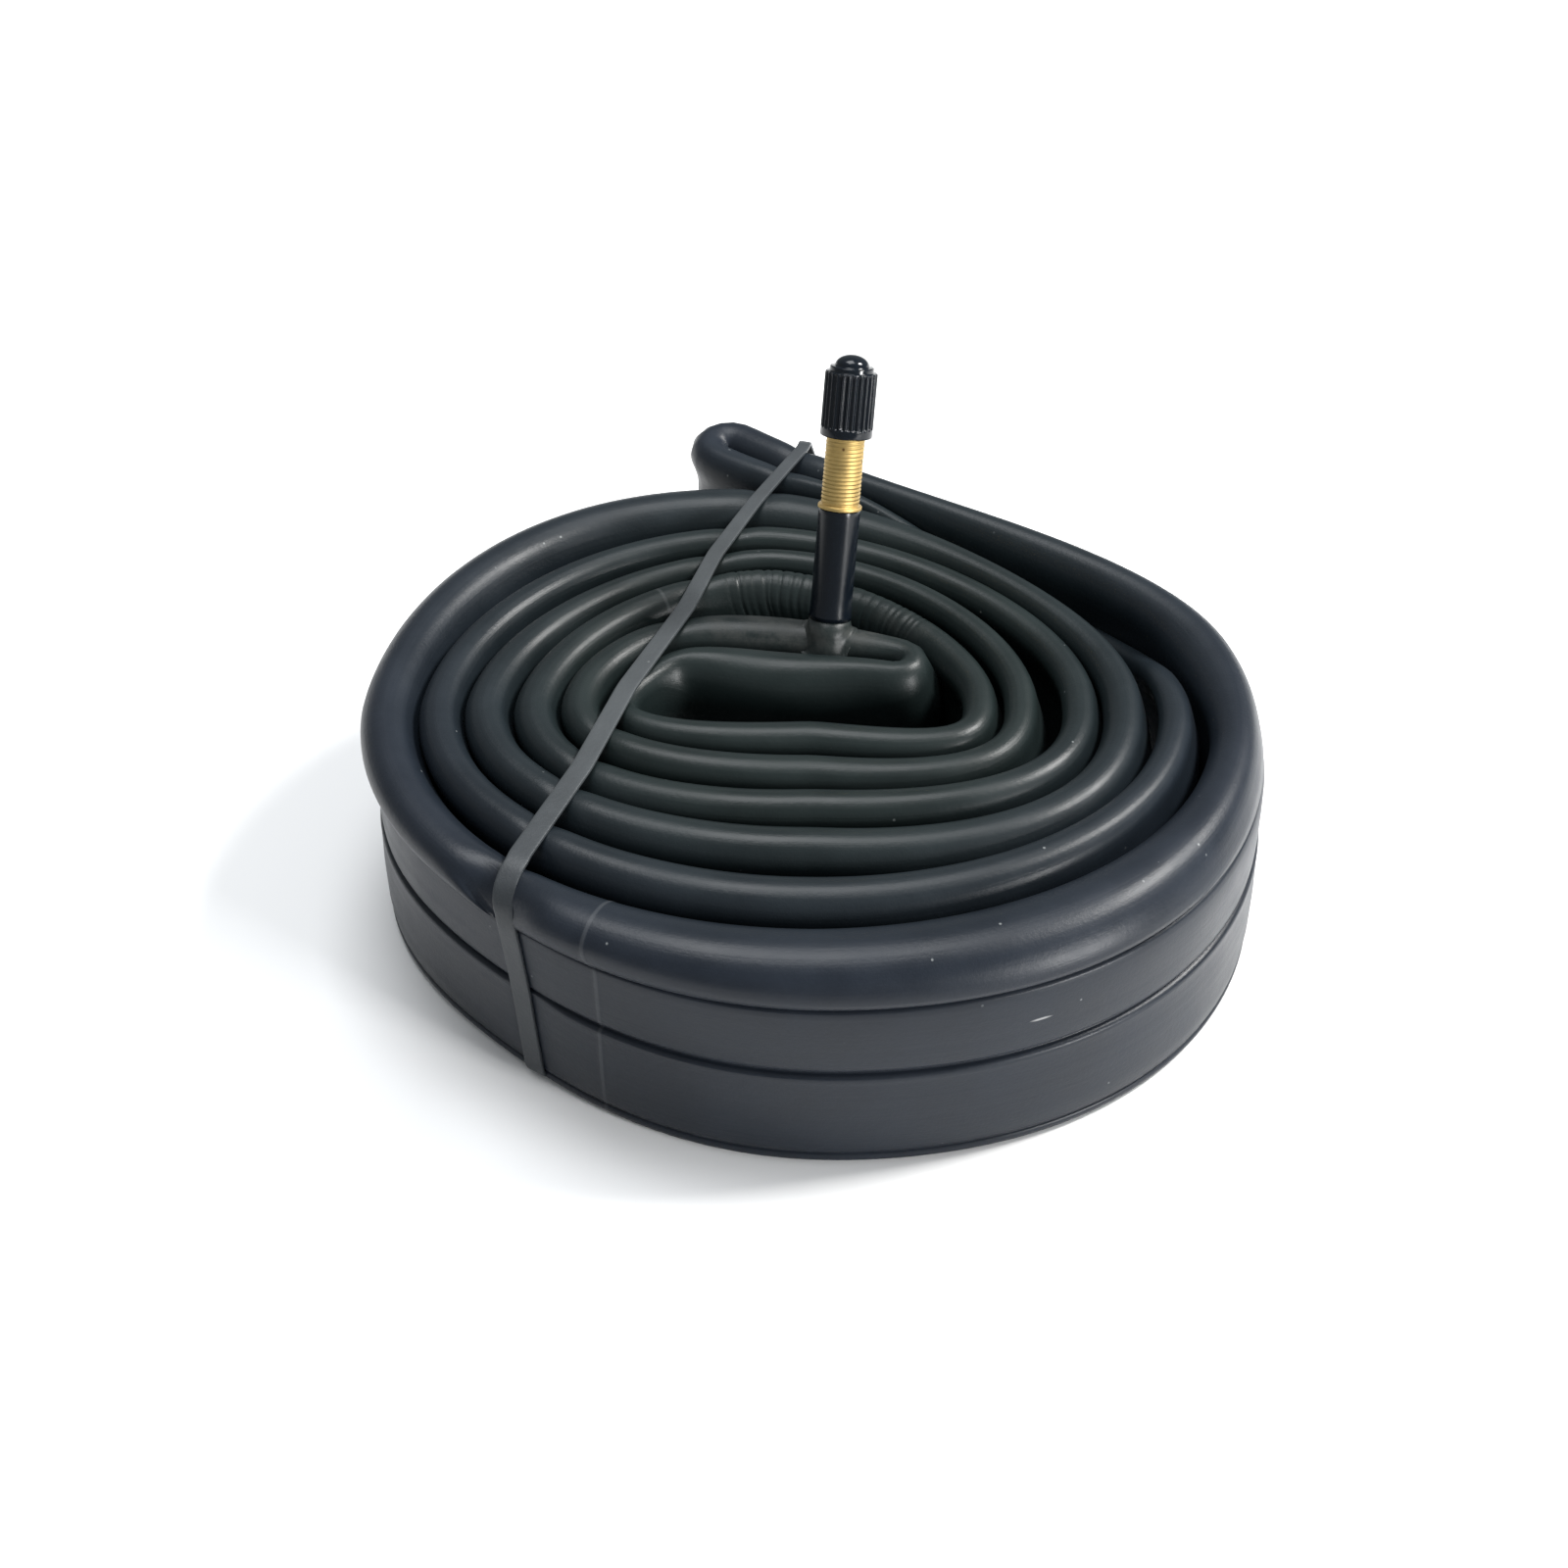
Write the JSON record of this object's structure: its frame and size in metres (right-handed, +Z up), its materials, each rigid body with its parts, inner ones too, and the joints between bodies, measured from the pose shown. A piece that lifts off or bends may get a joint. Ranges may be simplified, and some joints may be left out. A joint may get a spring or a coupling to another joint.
{
  "type": "bicycle inner tube",
  "caption": "Deflated bicycle inner tube rolled up on edge under a rubber band, with a rubber-covered car-type valve and dust cap.",
  "frame": {"origin": "on the floor, under the middle of the roll's bounding box", "axes": "+Z up, across the flat width of the tube; +X to the right, +Y to the back, where the last fold stands out"},
  "size_m": [0.177, 0.18, 0.0991],
  "materials": {
    "butyl": "satin, slightly dusty",
    "stem_rubber": "semi-gloss moulded rubber",
    "band_rubber": "matt",
    "seal_rubber": "matt",
    "brass": "turned, slightly dull",
    "spring_steel": "drawn wire",
    "cap_plastic": "moulded gloss"
  },
  "bodies": {
    "roll": {"tube": "butyl", "valve_patch": "butyl", "stem_sleeve": "stem_rubber", "stem_insert": "brass", "rubber_band": "band_rubber"},
    "cap": {"dust_cap": "cap_plastic"},
    "core": {"core_barrel": "brass", "core_barrel_seal": "seal_rubber", "core_spring": "spring_steel"},
    "core_head": {"core_plug": "brass"},
    "poppet": {"core_pin": "brass", "core_cup": "brass", "core_cup_seal": "seal_rubber"}
  },
  "joints": [
    {"name": "cap_lift", "type": "slide", "parent": "roll", "child": "cap", "axis": [0.0808, 0.3746, 0.9237], "range_m": [0, 0.03]},
    {"name": "core_rise", "type": "slide", "parent": "roll", "child": "core", "axis": [0.0808, 0.3746, 0.9237], "range_m": [0, 0.00388]},
    {"name": "core_turn", "type": "hinge", "parent": "core", "child": "core_head", "pos_m": [0.00728, 0.03014, 0.09326], "axis": [0.0808, 0.3746, 0.9237], "range_deg": [0, 1980]},
    {"name": "pin_press", "type": "slide", "parent": "core", "child": "poppet", "axis": [0.0808, 0.3746, 0.9237], "range_m": [-0.0015, 0], "stiffness_N_per_m": 1500, "springref_m": 0.0005, "deforming": ["core_spring"]}
  ],
  "couplings": [
    {"joint": "core_turn", "follows": "core_rise", "rad_per_m": 8905.5}
  ]
}
